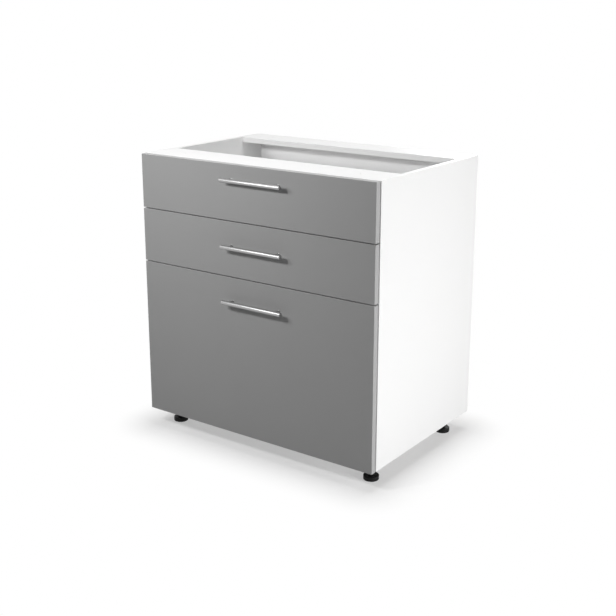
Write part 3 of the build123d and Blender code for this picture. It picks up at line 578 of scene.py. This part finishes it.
# Pad as a closed turned loop: rounded rims, a groove in the top and the bore. The radius of the
# upright rim goes in and out with a cosine of the angle, which makes the flutes.
def padShell(low, high, middle):
    pad = footPad
    radius = (high[0] - low[0]) / 2
    height = high[2] - low[2]
    lower, upper = pad["lowerRound"], pad["upperRound"]
    lowerRadii, lowerRise = quarter(radius - lower, lower, lower, -90, 0)
    upperRadii, upperRise = quarter(radius - upper, height - upper, upper, 0, 90)
    inner, outer = pad["groove"]
    slope = pad["grooveDepth"] * pad["grooveSlope"]
    grooved, recessed = height - pad["grooveDepth"], height - pad["recessDepth"]
    # (radius, height) from the rim's top inwards and down the bore
    inside = [(outer, height), (outer - slope, grooved), (inner + slope, grooved),
              (inner, height), (pad["recess"], height), (pad["recess"], recessed),
              (pad["collar"], recessed), (pad["bore"], recessed), (pad["bore"], pad["ledge"]),
              (pad["snapBore"], pad["ledge"]), (pad["snapBore"], 0.0)]
    insideRadii, insideRise = np.transpose(inside)
    radii = np.concatenate([lowerRadii, [radius] * 2, upperRadii, insideRadii])
    along = np.concatenate([lowerRise, [lower + pad["plainRim"], height - upper - pad["plainRim"]],
                            upperRise, insideRise])
    steps = pad["flutes"] * pad["stepsPerFlute"]
    grid = np.repeat(radii[:, None], steps, axis=1)
    fluted = slice(len(lowerRadii), len(lowerRadii) + 2)  # only the upright part of the rim
    grid[fluted] -= pad["fluteDepth"] * (0.5 - 0.5 * np.cos(pad["flutes"] * turnSteps(steps)))
    return turned((middle[0], middle[1], low[2]), (0, 0, 1), grid, along, steps, loop=True)


# Radius of a hexagon at an angle: its flat's distance over the cosine of the angle from the
# flat's middle
def hexagonRadius(angle, corner):
    flat = corner * math.cos(math.pi / 6)
    within = np.mod(angle, math.pi / 3) - math.pi / 6
    return flat / np.cos(within)


# Spindle as a turned shape: a snap end, a plain tail, a hexagon with trimmed corners, and a thread
# whose radius rises and falls once per turn and per lead, so that its crest climbs as a helix
def spindleShell(low, high, middle):
    spindle = footSpindle
    steps, top = spindle["steps"], high[2]
    angle = turnSteps(steps)
    hexLow, hexHigh = spindle["hexLow"], spindle["hexHigh"]
    shape = hexagonRadius(angle, spindle["hexagon"])
    trimmed = np.minimum(shape, spindle["hexagon"] - spindle["chamfer"])
    rise = spindle["chamfer"] * spindle["chamferSlope"]
    narrow, taper = spindle["snapTaper"]
    # (radius, height) from the snap end up to the hexagon's top
    rows = [(spindle["snap"] - narrow, spindle["snapLow"]),
            (spindle["snap"], spindle["snapLow"] + taper), (spindle["snap"], spindle["snapHigh"]),
            (spindle["tail"], spindle["snapHigh"]), (spindle["tail"], hexLow), (trimmed, hexLow),
            (shape, hexLow + rise), (shape, hexHigh - rise), (trimmed, hexHigh)]
    radii = np.array([np.broadcast_to(row[0], steps) for row in rows])
    along = np.array([row[1] for row in rows])
    height = np.arange(hexHigh, top, spindle["lead"] / spindle["rowsPerTurn"])
    phase = np.mod(angle / (2 * math.pi) + (height[:, None] - hexHigh) / spindle["lead"], 1.0)
    crest = np.clip(spindle["crest"] * (0.5 - np.abs(phase - 0.5)) - spindle["valley"], 0, 1)
    inLength, inStart = spindle["fadeIn"]
    outLength, outEnd = spindle["fadeOut"]
    fade = np.minimum((height - hexHigh) / inLength + inStart, (top - height) / outLength + outEnd)
    core = spindle["thread"] - spindle["depth"]
    thread = core + spindle["depth"] * crest * np.minimum(fade, 1.0)[:, None]
    return turned((middle[0], middle[1], 0.0), (0, 0, 1),
                  np.concatenate([radii, thread, np.full((1, steps), core)]),
                  np.concatenate([along, height, [top]]), steps)


def makeFeet():
    for foot in footNames:
        for piece, node, shell in (("footPad", "foot_pad", padShell),
                                   ("footSpindle", "foot_spindle", spindleShell)):
            makePiece(f"{piece}_{foot}", [shell(*boxOf(f"{node}_{foot}"))], "blackPlastic",
                      f"{node}_{foot}", [f"{node}_{foot}"], footCrease)
    print("levelling feet made")


# Folded steel and rollers of the drawers. Distances across are measured inwards from the inner
# face of the carcass side.
sheet = {"thickness": 1.2, "bend": 1.3, "fromBox": 2.0}
drawerWall = {"face": 13.0, "baseReach": 16.0, "trackReach": 11.0, "trackRise": 22.5,
              "trackLip": 4.0, "hemReach": 9.0, "hemLip": 5.0, "tabReach": 16.0, "tabLow": 21.2,
              "tabHigh": 4.0, "pinFromRear": 14.0, "pinRise": 9.5}
runner = {"thickness": 1.15, "reach": 11.5, "openFront": 30.0, "pinFromFront": 16.0,
          "pinRise": 14.2, "stop": (95.5, 99.5), "stopHeight": 3.0}
frontBracket = {"fromSide": 1.5}
rollerPin = {"radius": 2.5, "head": 4.0, "headLength": 0.8, "headRound": 0.5, "room": 0.3,
             "steps": 32}
roller = {"near": 3.45, "width": 7.0, "bore": 2.55, "hub": 5.0, "dish": 8.5, "dishDepth": 0.8,
          "rimRound": 0.9, "lead": 0.2, "steps": 56}
alongCabinet, upright = (0, 2, 1), (0, 1, 2)  # which way a profile is carried


# Folded sheet on the left or right: a profile point lies at side * (face - distance inwards)
# across and at its height, and the bent profile is carried straight along the span
def sideSheet(side, face, profile, span, thickness, layout=alongCabinet):
    across = [(side * (face - distance), height) for distance, height in profile]
    return folded(across, thickness, sheet["bend"], span, layout)


# Pin as a turned shape: the radius steps from a boss to the shank that carries the roller, and out
# to a head whose rim is a quarter circle
def pinShell(start, outward, bossLength, length):
    pin = rollerPin
    rounding = pin["headRound"]
    headRadii, headRise = quarter(pin["head"] - rounding, length + pin["headLength"] - rounding,
                                  rounding, 0, 90, count=4)
    radii = np.concatenate([[pin["head"]] * 2, [pin["radius"]] * 2, [pin["head"]], headRadii])
    along = np.concatenate([[0.0, bossLength], [bossLength, length], [length], headRise])
    return turned(start, outward, radii, along, pin["steps"])


# Drawer's wall: one sheet from the hem down the wall to the shelf for the base, a second for the
# track, an upright tab at the rear for the back board, and the rear roller's pin
def makeDrawerWalls():
    wall = drawerWall
    thickness, half = sheet["thickness"], sheet["thickness"] / 2
    outer, centre = wall["face"], wall["face"] + half
    hem, track = centre - wall["hemReach"], centre - wall["trackReach"]
    bossLength = outer - roller["near"] - roller["width"] - rollerPin["room"]
    pinLength = outer - roller["near"] + rollerPin["room"]
    for drawer in drawerNames:
        for sideName, side in sideSigns.items():
            node = f"drawer_side_{sideName}_{drawer}"
            low, high, _ = boxOf(node)
            face = max(abs(low[0]), abs(high[0])) + sheet["fromBox"]
            front, rear = low[1], high[1]
            bottom, top = low[2], high[2]
            trackHeight = bottom + wall["trackRise"]
            wallProfile = [(hem, top - wall["hemLip"]), (hem, top - half), (centre, top - half),
                           (centre, bottom + half), (outer + wall["baseReach"], bottom + half)]
            trackProfile = [(centre, trackHeight + half), (track, trackHeight + half),
                            (track, trackHeight + wall["trackLip"])]
            tabProfile = [(centre, rear - half), (outer + wall["tabReach"], rear - half)]
            shells = [
                sideSheet(side, face, wallProfile, (front, rear), thickness),
                sideSheet(side, face, trackProfile, (front, rear), thickness),
                sideSheet(side, face, tabProfile, (bottom + wall["tabLow"], top - wall["tabHigh"]),
                          thickness, upright),
                pinShell((side * (face - outer), rear - wall["pinFromRear"],
                          bottom + wall["pinRise"]), (side, 0, 0), bossLength, pinLength),
            ]
            makePiece(f"drawerWall_{sideName}_{drawer}", shells, "whiteSteel",
                      f"drawer_{drawer}", [node])
    print("drawer walls made")


# Runner: a C-shaped channel, open above at its front end, with a stop across its lower flange and
# the front roller's pin
def makeRunners():
    rail = runner
    thickness, half, reach = rail["thickness"], rail["thickness"] / 2, rail["reach"]
    bossLength = roller["near"] - rollerPin["room"] - half
    pinLength = roller["near"] + roller["width"] + rollerPin["room"] - half
    for drawer in drawerNames:
        node = f"runner_channels_{drawer}"
        low, high, _ = boxOf(node)
        face, front, rear = high[0], low[1], high[1]
        bottom, top = low[2], high[2]
        opened = front + rail["openFront"]
        stopMiddle = bottom + thickness + rail["stopHeight"] / 2
        lower = [(half, bottom + half), (reach, bottom + half)]
        channelProfile = [(reach, top - half), (half, top - half)] + lower
        openProfile = [(half, top)] + lower
        stopProfile = [(thickness, stopMiddle), (reach, stopMiddle)]
        shells = []
        for side in sideSigns.values():
            shells += [
                sideSheet(side, face, channelProfile, (opened, rear), thickness),
                sideSheet(side, face, openProfile, (front, opened), thickness),
                sideSheet(side, face, stopProfile, [front + place for place in rail["stop"]],
                          rail["stopHeight"]),
                pinShell((side * (face - half), front + rail["pinFromFront"],
                          bottom + rail["pinRise"]), (-side, 0, 0), bossLength, pinLength),
            ]
        makePiece(f"runnerChannels_{drawer}", shells, "whiteSteel", "carcass",
                  [node])
    print("runner channels made")


# Brackets: angles bent upright, from the drawer's wall to the back of the front
def makeBrackets():
    half, fromSide = sheet["thickness"] / 2, frontBracket["fromSide"]
    leg = drawerWall["face"] - half
    for drawer in drawerNames:
        node = f"front_brackets_{drawer}"
        low, high, _ = boxOf(node)
        profile = [(leg, high[1]), (leg, low[1] + half), (fromSide, low[1] + half)]
        shells = [sideSheet(side, high[0] + fromSide, profile, (low[2], high[2]),
                            sheet["thickness"], upright) for side in sideSigns.values()]
        makePiece(f"frontBrackets_{drawer}", shells, "zincSteel", f"drawer_{drawer}",
                  [node])
    print("front brackets made")


# Roller as a closed turned loop: quarter circles at both rims, then on each face a shallow dish
# between hub and rim, and the bore, with a small slope at every step
def rollerShell(start, centreY, centreZ, radius):
    wheel = roller
    width, rounding, lead = wheel["width"], wheel["rimRound"], wheel["lead"]
    dish, hub, bore, deep = wheel["dish"], wheel["hub"], wheel["bore"], wheel["dishDepth"]
    nearRadii, nearAlong = quarter(radius - rounding, rounding, rounding, -90, 0)
    farRadii, farAlong = quarter(radius - rounding, width - rounding, rounding, 0, 90)
    # (radius, depth below the face) from the rim inwards to the bore
    face = [(dish + lead, 0.0), (dish, lead), (dish - lead, deep), (hub + lead, deep), (hub, lead),
            (hub - lead, 0.0), (bore + lead, 0.0), (bore, lead)]
    faceRadii, depth = np.transpose(face)
    radii = np.concatenate([nearRadii, farRadii, faceRadii, faceRadii[::-1]])
    along = np.concatenate([nearAlong, farAlong, width - depth, depth[::-1]])
    return turned((start, centreY, centreZ), (1, 0, 0), radii, along, wheel["steps"], loop=True)


def makeRollers():
    for drawer in drawerNames:
        for end in ("front", "rear"):
            node = f"{end}_rollers_{drawer}"
            low, high, (_, y, z) = boxOf(node)
            shells = [rollerShell(start, y, z, (high[2] - low[2]) / 2)
                      for start in (low[0], high[0] - roller["width"])]
            makePiece(f"rollers_{end}_{drawer}", shells, "rollerNylon", node,
                      [node])
    print("rollers made")


# Lengths of the studio are in metres and powers in watts. Over the footprint the floor shows its
# shadow with the share floorPale of plain white, and over floorFade it turns to white alone.
studio = {
    "world": 0.03, "floorRadius": 60.0, "floorSteps": 96, "floorTone": 0.85, "floorMottle": 0.01,
    "floorCloud": (3.0, 2.0), "floorRough": 0.9,
    "bounceTone": 0.58,  # what the floor sends back to other surfaces
    "floorPale": 0.41, "footprint": (0.37, 0.24), "footprintMiddle": 0.014, "floorFade": 0.17,
    "lamps": {
        "frontSoftbox": {"place": (-0.24, -1.32, 1.34), "aim": (-0.05, -0.26, 0.60),
                         "size": 0.14, "power": 8.05},
        "sideSoftbox": {"place": (-0.60, -1.10, 1.20), "aim": (-0.2, -0.26, 0.60),
                        "size": 0.3, "power": 4.15},
        "rightSoftbox": {"place": (2.20, -0.30, 0.40), "aim": (0.4, -0.05, 0.42),
                         "size": 0.8, "power": 22.0},
        "upperSoftbox": {"place": (2.30, 0.0, 1.30), "aim": (0.4, 0.02, 0.50),
                         "size": 0.9, "power": 9.6},
        "overheadSoftbox": {"place": (0.25, 0.15, 3.0), "aim": (0.1, 0.05, 0.8),
                            "size": 1.6, "power": 37.6},
        "leftSoftbox": {"place": (-2.6, 0.3, 1.0), "aim": (-0.4, 0.05, 0.5),
                        "size": 1.0, "power": 10.5},
        "rearSoftbox": {"place": (-0.6, 2.9, 1.3), "aim": (0.0, 0.28, 0.4),
                        "size": 1.2, "power": 22.0},
    },
}
white = grey(1.0)


def aimedAt(place, aim):
    return (Vector(aim) - Vector(place)).to_track_quat("-Z", "Y").to_matrix().to_4x4()


def makeLamps():
    for name, spec in studio["lamps"].items():
        data = bpy.data.lights.new(name, "AREA")
        data.shape = "DISK"
        data.size = spec["size"]
        data.energy = spec["power"]
        lamp = bpy.data.objects.new(name, data)
        lamp.visible_camera = False
        lamp.matrix_world = Matrix.Translation(spec["place"]) @ aimedAt(spec["place"], spec["aim"])
        scene.collection.objects.link(lamp)


def makeWorld():
    world = bpy.data.worlds.new("paleStudio")
    scene.world = world
    made = Graph(world)
    level = studio["world"]
    shine = made.node("ShaderNodeBackground", {}, {
        "Color": white, "Strength": level + made.seenRays() * (1 - level)})
    made.node("ShaderNodeOutputWorld", {}, {"Surface": shine.outputs[0]})


# The floor is a disc that takes the object's shadow and turns to plain white further out
def makeFloor():
    angle = turnSteps(studio["floorSteps"])
    circle = np.stack([np.cos(angle), np.sin(angle), np.zeros_like(angle)], axis=1)
    rim = (circle * studio["floorRadius"]).tolist()
    mesh = bpy.data.meshes.new("studioFloor")
    mesh.from_pydata(rim, [], [list(range(len(rim)))])
    floor = bpy.data.objects.new("studioFloor", mesh)
    scene.collection.objects.link(floor)
    made = Finish("paleFloor", Specular_IOR_Level=0.0, Roughness=studio["floorRough"])
    place = made.axes("Object")
    halfWidth, halfDepth = studio["footprint"]
    beyond = made.node("ShaderNodeCombineXYZ", {}, {
        "X": (abs(place["x"]) - halfWidth).aboveZero(),
        "Y": (abs(place["y"] - studio["footprintMiddle"]) - halfDepth).aboveZero()})
    away = made.node("ShaderNodeVectorMath", {"operation": "LENGTH"}, {0: beyond.outputs[0]})
    far = made.ease(away.outputs["Value"], 0.0, studio["floorFade"])
    pale = studio["floorPale"] + far * (1 - studio["floorPale"])
    tone = studio["floorTone"]
    plain = made.mix(made.noise(*studio["floorCloud"]), grey(tone * (1 - studio["floorMottle"])),
                     grey(tone))
    made.wear(Base_Color=made.mix(made.rays("Diffuse"), plain, grey(studio["bounceTone"])))
    glow = made.node("ShaderNodeEmission", {}, {"Color": white, "Strength": 1.0})
    both = made.node("ShaderNodeMixShader", {}, {
        0: pale * made.seenRays(), 1: made.shader.outputs[0], 2: glow.outputs[0]})
    made.feed(made.out.inputs["Surface"], both.outputs[0])
    mesh.materials.append(made.material)


# The place is in metres, the angles are in degrees and the sensor is in millimetres. The others
# are in pixels of the photograph: centreHeight is the row that the camera points at, and frame
# the picture's width.
camera = {"place": (1.7365, -2.3979, 1.2850), "pitch": 15.2393, "yaw": 35.8099, "roll": 0.0307,
          "focal": 1045.69, "centreHeight": 276.0, "frame": 616.0, "sensor": 36.0}


def makeCamera():
    data = bpy.data.cameras.new("studioCamera")
    data.sensor_width = camera["sensor"]
    data.lens = camera["sensor"] * camera["focal"] / camera["frame"]
    data.shift_y = camera["centreHeight"] / camera["frame"] - 0.5
    made = bpy.data.objects.new("studioCamera", data)
    turn = (Matrix.Rotation(math.radians(camera["yaw"]), 4, "Z")
            @ Matrix.Rotation(math.radians(90 - camera["pitch"]), 4, "X")
            @ Matrix.Rotation(math.radians(camera["roll"]), 4, "Z"))
    made.matrix_world = Matrix.Translation(camera["place"]) @ turn
    scene.collection.objects.link(made)
    scene.camera = made


makeHandles()
makeFeet()
makeDrawerWalls()
makeRunners()
makeBrackets()
makeRollers()
makeLamps()
makeWorld()
makeFloor()
makeCamera()
print("studio ready")
